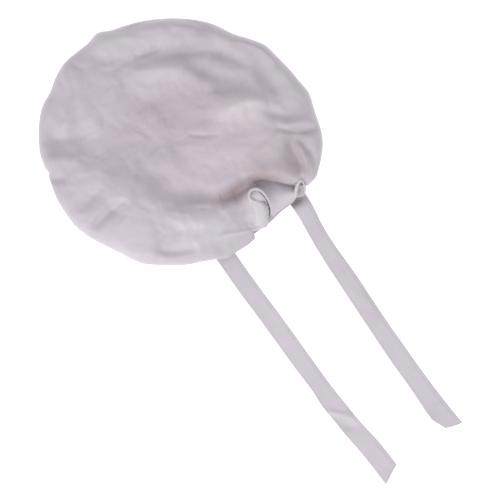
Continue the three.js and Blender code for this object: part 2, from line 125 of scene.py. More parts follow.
# Folds, each a line of stations: x, y, half width and height there, below 0 for a valley.
SIDE_FOLDS = [  # these count twice, before the gathering pulls the cloth down and after it
    [(126, 32, 10, 0), (130, 10, 11, -3), (132, -12, 11, -3), (126, -32, 10, 0)],
    [(-66, 6, 9, 0), (-52, -8, 11, -1.5), (-38, -24, 11, -3), (-22, -42, 9, 0)],
    [(126, 66, 7, 0), (138, 46, 8, 5), (148, 22, 8, 5), (152, 6, 7, 0)],
    [(-70, 122, 9, 0), (-84, 105, 10, 3.5), (-102, 91, 10, 3.5), (-116, 85, 9, 0)],
]
FOLDS = SIDE_FOLDS + [
    [  # the valley that runs into the hollow behind the finger
        (-60, -20, 12, 0), (-44, -42, 13, -4), (-24, -62, 13, -6), (-4, -75, 11, -7), (12, -81, 9, -5),
        (24, -82, 8, 0),
    ],
    [(-138, 98, 10, -2), (-128, 92, 13, -5), (-113, 82, 14, -6), (-91, 64, 12, 0)],
    [(-84, 88, 10, 0), (-88, 70, 13, -6), (-98, 44, 12, -4), (-104, 26, 10, 0)],
    [(-152, 77, 6, 3), (-145, 70, 7, 5), (-124, 56, 8, 4), (-108, 46, 8, 0)],
    [(-157, 59, 4, -7), (-148, 50, 5, -8), (-136, 36, 6, 0)],
    [(4, 106, 9, 0), (20, 93, 9, 5), (47, 66, 10, 6.5), (70, 34, 10, 5), (77, 22, 9, 0)],
    [(24, 112, 7, 0), (46, 96, 8, -4), (70, 80, 9, -7), (98, 60, 10, -7), (112, 40, 10, -5), (122, 20, 9, 0)],
    [(58, 70, 11, 0), (68, 57, 12, -6), (80, 36, 13, -8), (98, 15, 12, -7), (114, -10, 9, 0)],
    [(54, 18, 14, 0), (70, 3, 17, 11), (95, -12, 17, 11), (113, -20, 14, 0)],
    [(86, -14, 7, 0), (98, -25, 7, -4), (120, -45, 7, -4), (128, -54, 6, 0)],
    [(108, -41, 6, 0), (122, -53, 6, 5), (146, -71, 6, 5.5), (156, -79, 4, 2)],
    [(98, -46, 4, 0), (112, -57, 3.5, -3.5), (146, -84, 3.5, -4), (152, -92, 3, -2)],
    [(116, -74, 5, 0), (115, -86, 5, 8), (109, -102, 5, 9), (100, -118, 4.5, 8), (93, -128, 4, 3)],
    [(124, -88, 6, 0), (120, -100, 6, -5), (112, -116, 6, -7), (103, -130, 5, -6)],
    [(117, -60, 10, 0), (113, -82, 14, -10), (102, -103, 12, -10), (90, -119, 8, -3)],
    [(-142, 0, 5, 0), (-132, 1, 6, -2.5), (-107, 5, 6, -2.5), (-98, 6, 6, 0)],
    [(-146, -30, 6, 0), (-133, -27, 7, -5.5), (-102, -23, 7, -5.5), (-90, -20, 6, 0)],
    [(-50, 130, 12, 0), (-62, 117, 14, 3.5), (-82, 84, 14, 3.5), (-92, 68, 12, 0)],
    [  # the low ridge south of that hollow
        (-62, -56, 10, 0), (-46.7, -71.8, 12, 5), (-24.3, -92, 13, 7), (-0.4, -106, 11, 4),
        (14, -108, 8, 0),
    ],
    [(-96, -94, 6, 0), (-86, -91, 7, -3), (-60, -84, 7, -3), (-50, -82, 6, 0)],
    [(-92, -95, 5, 0), (-83, -99, 6, -3), (-62, -111, 6, -3), (-53, -118, 5, 0)],
    [(-55, 155, 4, -2), (-51, 146, 4, -3), (-43, 128, 4, 0)],
    [(-77, 142, 3, -2), (-78, 134, 3, -2), (-81, 117, 4, 0)],
    [(14, 113, 3, 0), (24, 111, 3, -2.5), (40, 106, 3, -2.5), (50, 103, 3, 0)],
    [(18, 6, 3, 0), (23, -1, 3.4, -1.2), (35, -15, 3.4, -1.2), (41, -22, 3, 0)],
    [(-4, 66, 16, 0), (6, 49, 17, -3), (22, 25, 17, -3), (30, 12, 14, 0)],
    [(8, 153, 3, 0), (24, 146, 3, -2), (62, 132, 3.5, -2.5), (96, 104, 3.5, -2), (112, 88, 3, 0)],
]

# Small folds and hems at the nape, which the photograph shows close up.
NAPE_FOLDS = SIDE_FOLDS + [
    [(-24, -122, 3, 0), (-14, -118, 3, -1.6), (8, -112, 3, -1.6), (18, -108, 3, 0)],
    [(-30, -142, 1.8, 0), (-19, -143, 1.8, -1.0), (0, -142, 1.8, -1.0), (9, -139, 1.8, 0)],
    [(15, -136, 2, 1.0), (-2, -129, 2.4, 1.4), (-18.6, -121.5, 2.6, 1), (-34, -117, 3, 0)],
    [  # the slit under the finger's tip
        (36.5, -110.5, 1.3, 0), (39.5, -112.5, 1.4, -2.5), (42.6, -116, 1.5, -4.5), (44.6, -121, 1.5, -4),
    ],
    [(15, -133, 1.5, -0.6), (25, -136.5, 1.6, -1.2), (35, -135.5, 1.5, -0.8)],
    [(11, -131, 2.5, 0), (14, -130.5, 2.5, 1.6), (17, -131, 2.5, 0)],
]

# Lines along which the gathering pulls the crown's cloth down to a level: place, half width, level, share.
PULLS = [
    [
        (-10, -80, 9, 18, 0.2), (6, -85, 9, 15, 0.8), (20, -88.5, 10, 12.5, 1.0),
        (34, -89, 9.5, 13.5, 1.0), (47.5, -92.5, 8, 13, 0.95), (60, -98.5, 7, 11, 0.8),
        (72, -108, 6, 10, 0.7), (83, -119, 5, 9.5, 0.5),
    ],
    [
        (98, -115, 4, 16, 0.0), (94.5, -121, 4.5, 13, 0.7), (92, -125, 6, 7, 0.9),
        (86, -131, 6, 6, 1.0),
    ],
]

# The finger: the rounded end of the roll on the left, which stands over the notch.
FINGER_BODY = {
    "from": (25.0, -141.0), "to": (39.8, -105.0), "foot": 13.0, "tip": 9.5, "low": 16.5, "high": 25.0,
}
FINGER_BLEND = 3.0
FINGER_DIMPLE = {"x": 39.8, "y": -104.4, "wide": 6.5, "deep": 3.4}
# The bottom of the hollow behind the finger.
HOLLOW = [(-66, -30), (-36, -60), (-10, -78), (6, -84), (20, -88), (34, -89), (47, -92), (60, -99),
          (92, -131)]
SHELF = {  # the flat part of the crown south of that hollow
    "x": -66.0, "soft_x": 80.0, "soft_y": 12.0, "foot": -140.0, "high": 13.0, "slope": 0.3, "lean": 0.1,
    "lean_from": -50,
}
FINGER_WALL = 3.6
FINGER = [  # the rolled rim round the finger's tip and on along the casing's edge: x, y, its foot and its top
    (37.6, -112.2, 17.0, 22.5), (33.6, -109.2, 18.0, 25.0), (31.2, -104.4, 18.0, 26.2),
    (32.6, -99.4, 16.0, 26.6), (37.2, -96.4, 13.0, 26.6), (42.8, -97.4, 11.0, 26.0),
    (46.8, -102.2, 10.0, 24.8), (48.4, -108.0, 9.0, 23.0), (48.8, -114.5, 8.0, 20.5),
    (48.0, -120.5, 7.0, 17.5), (45.8, -127.4, 5.5, 13.5), (41.0, -134.2, 4.2, 8.5),
]
FINGER_OUTER_FROM = 5  # the first row of the rim's outer side, which the casing lies against
FINGER_STEPS = 140
LOOP = [  # the small open loop of cloth over the right tie's root: x, y, its foot, its top and its wall
    (94.4, -119.4, 12.0, 20.5, 2.4), (88.8, -121.0, 10.0, 19.0, 4.0), (83.2, -125.2, 8.0, 16.5, 4.6),
    (78.6, -130.8, 5.5, 13.0, 3.6), (80.6, -133.4, 5.5, 10.5, 2.4), (86.6, -134.8, 5.5, 10.5, 2.4),
    (90.6, -132.6, 6.0, 12.5, 2.4), (93.8, -126.4, 8.0, 15.5, 2.4),
]
LOOP_STEPS = 96
LOOP_FLOOR = {"high": 1.5, "deep": 0.8, "near": 0.12, "half_way": 0.5, "far": 0.98}
ROUND_TOP_POINTS = 7

# The ties' middle lines, from the hidden root to the end: x, y, height and how much wider than TIE_WIDTH.
TIE_WIDTH = 23.0
LEFT_TIE = [
    (-31.5, -108, "under", 0), (-31.5, -118, "under", 0), (-31.5, -130, "under", 0), (-31.5, -150, 0, 0),
    (-31.2, -190, 0.9, 0), (-29.6, -235, 0, 0), (-28.4, -295, 0.4, 0), (-27.2, -335, 2.2, -1),
    (-27.0, -356, 2.6, 1), (-25.4, -377, 0.3, 1), (-23.6, -400, 2.6, 1), (-19.6, -432, 0, 2),
    (-17.0, -476, 0.6, 2),
]
RIGHT_TIE = [
    (78.8, -108, "under", 0), (78.8, -118, "under", 0), (78.6, -130, "under", 0), (78.4, -137.5, 0.1, -0.5),
    (77.9, -147.5, 4.8, -1), (77.2, -157, 4.2, -2), (76.2, -166, 2.0, -2.5), (74.9, -177, 0.6, -3),
    (73.0, -206, 0.4, -2), (72.6, -250, 0, 0), (71.4, -310, 1.0, 0), (71.2, -355, 0, 1), (71.9, -400, 0, 1),
    (72.4, -435, 0.4, 3), (74.6, -469, 0, 4),
]
TIE_FOLDS = [
    [(-42, -362, 3.5, 0.6), (-34, -368, 3.5, 1.8), (-22, -381, 4, 1.6), (-12, -392, 4, 0.4)],
    [(-36, -384, 5, -0.3), (-26, -394, 5, -1.4), (-14, -404, 5, -0.4)],
    [(66, -254, 6, 0), (71, -270, 6, 0.7), (80, -296, 6, 0.5), (83, -312, 6, 0)],
]
LEFT_TIE_CUT = [0, 2, 4, 6, 7.5]
RIGHT_TIE_CUT = [20, 6, 3.5, 1.5, 0]
LEFT_TIE_ROOT_X = -31.5
RIGHT_TIE_ROOT_X = 90.0
TIE_STEPS, TIE_LANES = 220, 24
LOOK_AHEAD = 0.004
RIPPLE = {"high": 0.5, "short": 17, "long": 41, "from_y": -150, "over": 20}
TIE_EDGE = {"round": 1.2, "least": 0.25, "groove": 2.6, "groove_wide": 0.7, "groove_deep": 0.35}

# Stitches: their length and spacing along a row, and the rows' places on the ties and the casing.
STITCH = {"pitch": 3.0, "half": 0.95, "thick": 0.16, "shoulders": (0.15, 0.85), "sunk": 0.22, "lift": 0.1}
STITCH_SIDES = 5
GROOVE_LANES = (3, -4)
TIE_SHOWS_FROM = -132
HEM_ROW, HEM_FROM, HEM_TO = -4, 51, 80

# How finely the crown is divided, with columns by degrees round it: from, to and their number, even in all.
CROWN_COLUMNS = [(-98, -69.5, 66), (-69.5, -63.5, 38), (-63.5, -49, 28), (-49, 262, 324)]
TOP_RINGS, RING_CROWDING, UNDERSIDE_RINGS = 121, 1.25, 44
LOWEST = 0.02
INNER_STEP = 2  # an inner face has one point for this many of the outer face
FACES_UP = 0.3
STEPS_PER_STATION = 3
FOLD_REACH = 3  # half widths from a fold's line, past which it counts for nothing
WANDER = {"far": (2.5, 1.5), "x": (13, 9), "y": (15, 8)}  # how far folds stray, and on what wave lengths

SEED = 11
rng = np.random.default_rng(SEED)


# Shapes in plain numbers

def smooth(t):
    s = np.clip(t, 0.0, 1.0)
    return s * s * (3 - 2 * s)


def mix(a, b, t):
    return a + (b - a) * t


def bell(t):
    return np.exp(-t * t)


def wrapped(angle):
    return np.arctan2(np.sin(angle), np.cos(angle))


def within(angle, low, high, soft):
    """1 between two angles in degrees and 0 outside them, with soft ends."""
    at = np.degrees(wrapped(angle))
    entering = smooth((at - low + soft) / (2 * soft))
    leaving = smooth((high + soft - at) / (2 * soft))
    return entering * leaving


def points_at(x, y, z):
    return np.stack(np.broadcast_arrays(x, y, z), axis=-1)


def polar(radius, angle):
    return radius * np.cos(angle), radius * np.sin(angle)


def unit(vectors):
    return vectors / np.linalg.norm(vectors, axis=-1, keepdims=True)


def beside(x, y, x0, y0, x1, y1):
    """How far along a line the nearest point is (0 to 1), and how far away it is."""
    dx, dy = x1 - x0, y1 - y0
    length = math.hypot(dx, dy)
    along = ((x - x0) * dx + (y - y0) * dy) / (length * length)
    t = np.clip(along, 0, 1)
    return t, np.hypot(x - x0 - t * dx, y - y0 - t * dy)


def catmull(values, u):
    """A smooth curve through rows of values, at shares u of the way through their list."""
    values = np.asarray(values, dtype=float)
    padded = np.concatenate([[2 * values[0] - values[1]], values, [2 * values[-1] - values[-2]]])
    place = np.clip(np.asarray(u, dtype=float), 0, 1) * (len(values) - 1)
    i = np.minimum(place.astype(int), len(values) - 2)
    t = (place - i)[..., None]
    p0, p1, p2, p3 = padded[i], padded[i + 1], padded[i + 2], padded[i + 3]
    square, cube = 2 * p0 - 5 * p1 + 4 * p2 - p3, 3 * p1 - p0 - 3 * p2 + p3
    return 0.5 * (2 * p1 + (p2 - p0) * t + square * t**2 + cube * t**3)


def fold_curve(line):
    """A fold's stations as a smooth curve of short steps, so that its height has no kinks."""
    steps = STEPS_PER_STATION * (len(line) - 1)
    return catmull(line, np.linspace(0, 1, steps + 1))


def fold_height(x, y, folds):
    """Sum of the folds at a place. Each fold counts once, at the part of its line that is nearest."""
    x, y = np.broadcast_arrays(x, y)
    total = np.zeros(x.shape)
    for line in folds:
        curve = fold_curve(line)
        reach = FOLD_REACH * curve[:, 2].max()
        low, high_corner = curve[:, :2].min(axis=0) - reach, curve[:, :2].max(axis=0) + reach
        close = (x > low[0]) & (x < high_corner[0]) & (y > low[1]) & (y < high_corner[1])
        px, py = x[close], y[close]
        nearest = np.full(px.shape, np.inf)
        high = np.zeros(px.shape)
        for a, b in zip(curve, curve[1:]):
            t, away = beside(px, py, *a[:2], *b[:2])
            here = mix(a[3], b[3], t) * bell(away / mix(a[2], b[2], t))
            closer = away < nearest
            high = np.where(closer, here, high)
            nearest = np.where(closer, away, nearest)
        total[close] += high
    return total


NOISE_CELLS = 64
NOISE_TURNS = rng.uniform(0, 2 * math.pi, (NOISE_CELLS, NOISE_CELLS))
NOISE_SHIFT = (0.37, 0.59)  # sets the hills of each size apart from the others
CRUMPLE_BEND = {"far": 9, "size_x": 31, "size_y": 37}
CREASE_LEVEL, CREASE_SOFTNESS = 0.25, 0.003
CRUMPLES = [(48, 5.5, 0.4), (26, 4.0, 0.6), (14, 1.5, 0.5), (7, 0.35, 0.0)]  # size, height, share of creases


def gradient_noise(x, y, size):
    """Even, soft ups and downs about 0, with hills about as far apart as the size says."""
    u, v = x / size + NOISE_SHIFT[0] * size, y / size + NOISE_SHIFT[1] * size
    i, j = np.floor(u).astype(int), np.floor(v).astype(int)
    s, t = u - i, v - j
    corners = []
    for di, dj in ((0, 0), (1, 0), (0, 1), (1, 1)):
        turn = NOISE_TURNS[(i + di) % NOISE_CELLS, (j + dj) % NOISE_CELLS]
        corners.append(np.cos(turn) * (s - di) + np.sin(turn) * (t - dj))
    fade_s, fade_t = s**3 * (s * (6 * s - 15) + 10), t**3 * (t * (6 * t - 15) + 10)
    near, far = mix(corners[0], corners[1], fade_s), mix(corners[2], corners[3], fade_s)
    return mix(near, far, fade_t)


def crumple(x, y):
    """Uneven ups and downs of thin cloth: soft hills, partly with a crease where they meet."""
    height = np.zeros(np.broadcast(x, y).shape)
    bent_x = x + CRUMPLE_BEND["far"] * gradient_noise(x, y, CRUMPLE_BEND["size_x"])
    bent_y = y + CRUMPLE_BEND["far"] * gradient_noise(y, x, CRUMPLE_BEND["size_y"])
    for size, high, creased in CRUMPLES:
        hills = gradient_noise(bent_x, bent_y, size)
        creases = CREASE_LEVEL - np.sqrt(hills**2 + CREASE_SOFTNESS)
        height = height + high * mix(hills, creases, creased)
    return height


WRINKLE = {  # ranges, and for turn and bend how much they vary
    "count": 90, "reach": (0.08, 0.92), "turn": 0.6, "half": (7, 20), "bend": 3, "wide": (2.2, 5.5),
    "high": (0.25, 0.7),
}


def fine_wrinkles(radius):
    """Short shallow wrinkles scattered over the crown. They run mostly outwards, as gathered cloth does."""
    folds = []
    for _ in range(WRINKLE["count"]):
        angle = rng.uniform(-math.pi, math.pi)
        at = radius * math.sqrt(rng.uniform(*WRINKLE["reach"]))
        x, y = at * math.cos(angle), at * math.sin(angle)
        heading = angle + rng.normal(0, WRINKLE["turn"])
        half = rng.uniform(*WRINKLE["half"])
        bend = rng.normal(0, WRINKLE["bend"])
        wide = rng.uniform(*WRINKLE["wide"])
        high = rng.choice([-1, 1]) * rng.uniform(*WRINKLE["high"])
        dx, dy = half * math.cos(heading), half * math.sin(heading)
        middle = (x - bend * math.sin(heading), y + bend * math.cos(heading), wide, high)
        folds.append([(x - dx, y - dy, wide, 0), middle, (x + dx, y + dy, wide, 0)])
    return folds


WRINKLES = fine_wrinkles(CROWN_BREADTH / 2)


def nape_radius(angle):
    """The crown's edge at the nape, eased from each edge point to the next."""
    at = np.degrees(wrapped(angle))
    ats, radii = np.array(NAPE_EDGE).T
    i = np.clip(np.searchsorted(ats, at, side="right") - 1, 0, len(ats) - 2)
    return mix(radii[i], radii[i + 1], smooth((at - ats[i]) / (ats[i + 1] - ats[i])))


def edge_radius(angle):
    """The crown's edge, as a distance from its centre."""
    radius = cushion_radius(angle)
    for at, wide, out in EDGE_BUMPS:
        radius = radius + out * bell(wrapped(angle - math.radians(at)) / math.radians(wide))
    return mix(radius, nape_radius(angle), within(angle, *NAPE_SPAN))


def cushion_radius(angle):
    """The plain oval that the crown's loft follows, without the nape's notch."""
    a, b = CROWN_LENGTH / 2, CROWN_BREADTH / 2
    return a * b / np.hypot(b * np.cos(angle - CROWN_TURN), a * np.sin(angle - CROWN_TURN))


def casing_height(x, y):
    """The upper face of the casing. Where it is bare it rises from the crease to a soft ridge, then falls."""
    round_x = (x - OPENING_X) / OPENING_HALF_X
    top = OPENING_Y - OPENING_HALF_Y * np.sqrt(np.maximum(LEAST_ROOT, 1 - round_x * round_x))
    down = np.clip((top - y) / (top - CASING["foot"]), 0, 1)
    plain = mix(NAPE_SEAM_HEIGHT - CLEARANCE, CASING["foot_z"], down)
    crease = np.interp(x, *np.transpose(CREASE))
    below = np.clip((crease - y) / (crease - BARE["foot"]), 0, 1)
    lip_x, lip_y = np.array(FINGER[FINGER_OUTER_FROM:])[:, :2].T
    lip = np.interp(-y, -lip_y, lip_x)
    bare = smooth((x - lip + 0.5) / BARE["left_soft"]) * smooth((BARE["right"] - x) / BARE["right_soft"])
    valley = BARE["crease_deep"] * bell((crease - y) / BARE["crease_wide"])
    rise = BARE["rise"] * np.sin(math.pi * below ** BARE["lean"])
    near_lip = BARE["lip_rise"] * bell((x - lip) / BARE["lip_wide"]) * smooth((crease - y) / BARE["lip_soft"])
    return plain + bare * (rise + near_lip * (1 - below**3) - valley)


def under_casing(x, y):
    """The height for a tie's lower face where its root lies under the casing."""
    return casing_height(x, y) - CASING_WALL - SEAM_GAP - TIE_WALL


def pulled_down(z, x, y):
    """The height z with the pulls worked in."""
    for line in PULLS:
        best = np.zeros(z.shape)
        level = np.zeros(z.shape)
        for a, b in zip(line, line[1:]):
            t, away = beside(x, y, *a[:2], *b[:2])
            wide, deep, share = (mix(start, stop, t) for start, stop in zip(a[2:], b[2:]))
            share = share * bell(away / wide)
            stronger = share > best
            level = np.where(stronger, deep, level)
            best = np.where(stronger, share, best)
        z = mix(z, level, best)
    return z


def on_shelf(z, x, y):
    """The height z, lowered south of the hollow, where the crown lies flat near its elastic."""
    foot = np.interp(x, *np.transpose(HOLLOW))
    share = smooth((x - SHELF["x"]) / SHELF["soft_x"]) * smooth((foot - y) / SHELF["soft_y"])
    level = SHELF["high"] + SHELF["slope"] * (y - SHELF["foot"])
    level = level + SHELF["lean"] * np.clip(x, SHELF["lean_from"], 0)
    return mix(z, level, share)


def finger_height(x, y):
    """The finger's rounded back, with a dimple near its tip."""
    body = FINGER_BODY
    t, away = beside(x, y, *body["from"], *body["to"])
    half = mix(body["foot"], body["tip"], t)
    dome = mix(body["low"], body["high"], t) * np.sqrt(np.maximum(0, 1 - (away / half) ** 4))
    dimple = FINGER_DIMPLE
    return dome - dimple["deep"] * bell(np.hypot(x - dimple["x"], y - dimple["y"]) / dimple["wide"])


def basin_depth(x, y):
    """How far the cloth sinks over the head opening, inside an oval with a soft wall."""
    dx, dy = x - BASIN["x"], y - BASIN["y"]
    c, s = math.cos(BASIN["turn"]), math.sin(BASIN["turn"])
    size = np.hypot((dx * c + dy * s) / BASIN["half_x"], (dy * c - dx * s) / BASIN["half_y"])
    return BASIN["deep"] * (1 - smooth((size - BASIN_WALL["from"]) / BASIN_WALL["over"]))


def wandering(x, y):
    """A place moved a little to and fro, so that folds don't run quite straight."""
    (more, less), (long_x, short_x), (long_y, short_y) = WANDER.values()
    moved_x = x + more * np.sin(y / long_x + 1) + less * np.sin(x / short_x)
    moved_y = y + more * np.sin(x / long_y) + less * np.sin(y / short_y + 2)
    return moved_x, moved_y


def top_height(x, y, rho, angle):
    """The crown's upper face. rho runs from 0 in its middle to 1 at its edge."""
    rim = RIM_HEIGHT + NOTCH_LIP["rise"] * bell(wrapped(angle - NOTCH_LIP["at"]) / NOTCH_LIP["wide"])
    over_casing = casing_height(*polar(edge_radius(angle), angle)) + LIP_CLEARANCE
    rim = np.maximum(rim, over_casing * within(angle, *NAPE_SPAN))
    share = np.hypot(x, y) / cushion_radius(angle)
    lean = (1 + np.cos(angle - CROWN_FALL["towards"])) / 2
    cushion = CROWN_LOFT - CROWN_FALL["most"] * lean * share**3
    ridge = bell((share - FAR_SWELL["ridge"]) / FAR_SWELL["ridge_wide"])
    swell = ridge - bell((share - FAR_SWELL["valley"]) / FAR_SWELL["valley_wide"])
    cushion = cushion + FAR_SWELL["high"] * swell * bell(wrapped(angle - FAR_SWELL["at"]) / FAR_SWELL["wide"])
    folds = fold_height(*wandering(x, y), FOLDS) + fold_height(x, y, WRINKLES)
    z = on_shelf(cushion - basin_depth(x, y) + folds, x, y)
    z = pulled_down(z + crumple(x, y), x, y)
    finger = finger_height(x, y)
    z = mix(z, finger, smooth((finger - z) / FINGER_BLEND + 0.5)) + fold_height(x, y, NAPE_FOLDS)
    at_notch = bell(wrapped(angle - EDGE_ROUND["notch_at"]) / EDGE_ROUND["notch_wide"])
    steep = EDGE_ROUND["steep"] + EDGE_ROUND["steeper_at_notch"] * at_notch
    inside = np.power(np.maximum(0, 1 - rho**steep), EDGE_ROUND["power"])
    return mix(rim, z, inside)


def crown_top(angle, rho):
    x, y = polar(edge_radius(angle) * rho, angle)
    return points_at(x, y, top_height(x, y, rho, angle))


def seam_point(angle, inset):
    x = OPENING_X + (OPENING_HALF_X - inset) * np.cos(angle)
    y = OPENING_Y + (OPENING_HALF_Y - inset) * np.sin(angle)
    return x, y


def seam_height(angle):
    from_nape = np.degrees(np.abs(wrapped(angle + math.pi / 2)))
    return mix(NAPE_SEAM_HEIGHT, SEAM_HEIGHT, smooth((from_nape - SEAM_CLIMB["from"]) / SEAM_CLIMB["over"]))


def gathering(angle):
    """The gathers along the seam, from 0 to 1: deeper and shallower by turns and never quite regular."""
    phase = GATHERS * angle + 1.4 * np.sin(3 * angle + 0.6) + 0.9 * np.sin(7 * angle + 2.1)
    depth = 0.75 + 0.25 * np.sin(5 * angle + 1.0) * np.sin(11 * angle)
    return (0.5 - 0.5 * np.cos(phase)) * depth


def crown_underside(angle, t):
    """The crown from its edge (t 0) to its seam with the band or casing (t 1)."""
    over = within(angle, *LIFTED_SPAN)
    edge_x, edge_y = polar(edge_radius(angle), angle)
    rim = top_height(edge_x, edge_y, 1.0, angle)
    seam_angle = np.arctan2(edge_y - OPENING_Y, edge_x - OPENING_X)
    gathers = gathering(seam_angle)
    climb = smooth((t - UNDERSIDE["climbs_from"]) / (1 - UNDERSIDE["climbs_from"]))
    tuck = SIDE_TUCK * gathers * smooth(t / UNDERSIDE["tucked_by"]) * (1 - over)
    inward = 1 - np.cos(t * math.pi / 2) + tuck * (1 - climb)
    seam_x, seam_y = seam_point(seam_angle, SEAM_LAP)
    x, y = mix(edge_x, seam_x, inward), mix(edge_y, seam_y, inward)
    floor = (casing_height(x, y) + LIP_CLEARANCE) * over
    down = np.sin(np.minimum(1, t / UNDERSIDE["down_by"]) * math.pi / 2)
    pinch = smooth((t - UNDERSIDE["pinch_from"]) / UNDERSIDE["pinch_over"])
    pinch = pinch * (1 - UNDERSIDE["eased"] * smooth((t - UNDERSIDE["ease_from"]) / UNDERSIDE["ease_over"]))
    rise = (seam_height(seam_angle) - floor) * climb
    z = mix(rim, floor, down) + rise + GATHER_HEIGHT * gathers * pinch * (1 - over)
    return points_at(x, y, z)


# Meshes from grids of points

def grid_normals(grid, wraps, pole):
    down = np.gradient(grid, axis=0)
    if wraps:
        across = (np.roll(grid, -1, axis=1) - np.roll(grid, 1, axis=1)) / 2
    else:
        across = np.gradient(grid, axis=1)
    normal = np.cross(down, across)
    normal /= np.maximum(1e-9, np.linalg.norm(normal, axis=-1, keepdims=True))
    if pole:
        normal[0] = (0, 0, 1)
    return normal


def every(count, step, closed):
    """Indices 0, step, 2 step ... and always the last one, when the row isn't a closed one."""
    picked = list(range(0, count, step))
    if not closed and picked[-1] != count - 1:
        picked.append(count - 1)
    return picked


def face(*corners):
    """A face without the corners that fall together."""
    kept = [c for k, c in enumerate(corners) if c != corners[k - 1]]
    return kept if len(kept) > 2 else None


def skin(index, wraps, outward, faces):
    rows, columns = index.shape
    for i in range(rows - 1):
        for j in range(columns if wraps else columns - 1):
            k = (j + 1) % columns
            a, b, c, d = index[i, j], index[i + 1, j], index[i + 1, k], index[i, k]
            made = face(a, b, c, d) if outward else face(a, d, c, b)
            if made:
                faces.append(made)


def hem(outer, inner, picked, closed, turned, faces):
    """Faces between an edge of the outer face and the same edge of the inner face, which has fewer points."""
    ends = picked + [len(outer)] if closed else picked
    for n, (start, stop) in enumerate(zip(ends, ends[1:])):
        run = [outer[m % len(outer)] for m in range(start, stop + 1)]
        corners = run + [inner[(n + 1) % len(inner)], inner[n]]
        faces.append(corners[::-1] if turned else corners)


def sunk(height, facing):
    """Heights of an inner face, lowered where the cloth faces up, so that it stays under sharp valleys."""
    near = [np.roll(height, (i, j), axis=(0, 1)) for i in (-1, 0, 1) for j in (-1, 0, 1)]
    lowest = np.minimum.reduce(near)
    lowest[0], lowest[-1] = height[0], height[-1]
    return np.where(facing > FACES_UP, lowest, height)


def closed_mesh(name, outer, inner, step, wraps=False, pole=False):
    """A mesh of two grids of points and their hems. Of the inner grid only every step-th point is used."""
    rows, columns = outer.shape[:2]
    row_picks, column_picks = every(rows, step, False), every(columns, step, wraps)
    inner = inner[np.ix_(row_picks, column_picks)]
    front = np.arange(rows * columns).reshape(rows, columns)
    back = np.arange(inner.shape[0] * inner.shape[1]).reshape(inner.shape[:2]) + rows * columns
    if pole:
        front[0] = front[0, 0]
        back[0] = back[0, 0]
    faces = []
    skin(front, wraps, True, faces)
    skin(back, wraps, False, faces)
    hem(front[-1], back[-1], column_picks, wraps, True, faces)
    if not pole:
        hem(front[0], back[0], column_picks, wraps, False, faces)
    if not wraps:
        hem(front[:, 0], back[:, 0], row_picks, False, True, faces)
        hem(front[:, -1], back[:, -1], row_picks, False, False, faces)
    return add_mesh(name, np.concatenate([outer.reshape(-1, 3), inner.reshape(-1, 3)]), faces)


def cloth_mesh(name, grid, wall, wraps=False, pole=False):
    """A sheet of cloth. The grid is its outer face, and its inner face lies one wall behind."""
    normals = grid_normals(grid, wraps, pole)
    inner = grid - wall * normals
    if pole:
        inner[..., 2] = sunk(inner[..., 2], normals[..., 2])
    return closed_mesh(name, grid, inner, INNER_STEP, wraps, pole)


def add_object(name, data):
    obj = bpy.data.objects.new(name, data)
    bpy.context.scene.collection.objects.link(obj)
    return obj


def add_mesh(name, points, faces):
    """A smooth mesh object in the frame's metres. Points that no face uses are left out."""
    used = np.unique(np.concatenate([np.asarray(f) for f in faces]))
    renumber = np.full(len(points), -1)
    renumber[used] = np.arange(len(used))
    placed = (points[used] + (CENTRE_X, CENTRE_Y, 0)) * MM
    mesh = bpy.data.meshes.new(name)
    mesh.from_pydata(placed.tolist(), [], [[int(renumber[v]) for v in f] for f in faces])
    mesh.validate()
    mesh.polygons.foreach_set("use_smooth", [True] * len(mesh.polygons))
    return add_object(name, mesh)


def swept_mesh(name, rings, closed_path=False):
    """A tube through rings of points, with flat ends unless its path is closed."""
    index = np.arange(rings.shape[0] * rings.shape[1]).reshape(rings.shape[:2])
    faces = []
    if closed_path:
        skin(np.vstack([index, index[:1]]), True, False, faces)
    else:
        skin(index, True, False, faces)
        faces += [list(index[0][::-1]), list(index[-1])]
    return add_mesh(name, rings.reshape(-1, 3), faces)


# Camera and light

PHOTO_UP = Vector((0.569, 0.822, 0.0)).normalized()
PHOTO_RIGHT = Vector((0.822, -0.569, 0.0)).normalized()
VIEW_WIDTH = 0.595
LENS, SENSOR_WIDTH = 120, 36
FLOOR_HALF, FLOOR_BELOW = 6.0, 0.0002
LOOK_AT = Vector(((CENTRE_X - 3.3) * MM, (CENTRE_Y - 153.5) * MM, RIM_HEIGHT * MM))


def add_camera():
    data = bpy.data.cameras.new("camera")
    data.lens = LENS
    data.sensor_width = SENSOR_WIDTH
    half_angle = math.atan(data.sensor_width / 2 / data.lens)
    distance = VIEW_WIDTH / 2 / math.tan(half_angle)
    camera = add_object("camera", data)
    camera.location = LOOK_AT + Vector((0, 0, distance))
    turn = Matrix((PHOTO_RIGHT, PHOTO_UP, Vector((0, 0, 1)))).transposed()
    camera.rotation_euler = turn.to_euler()
    data.clip_start = 0.01
    data.clip_end = 100
    bpy.context.scene.camera = camera


def add_softbox(name, towards, distance, size, power):
    """A square soft light that shines on the bonnet from a direction."""
    data = bpy.data.lights.new(name, "AREA")
    data.shape = "SQUARE"
    data.size = size
    data.energy = power
    light = add_object(name, data)
    direction = towards.normalized()
    light.location = LOOK_AT + direction * distance
    light.rotation_euler = direction.to_track_quat("Z", "Y").to_euler()


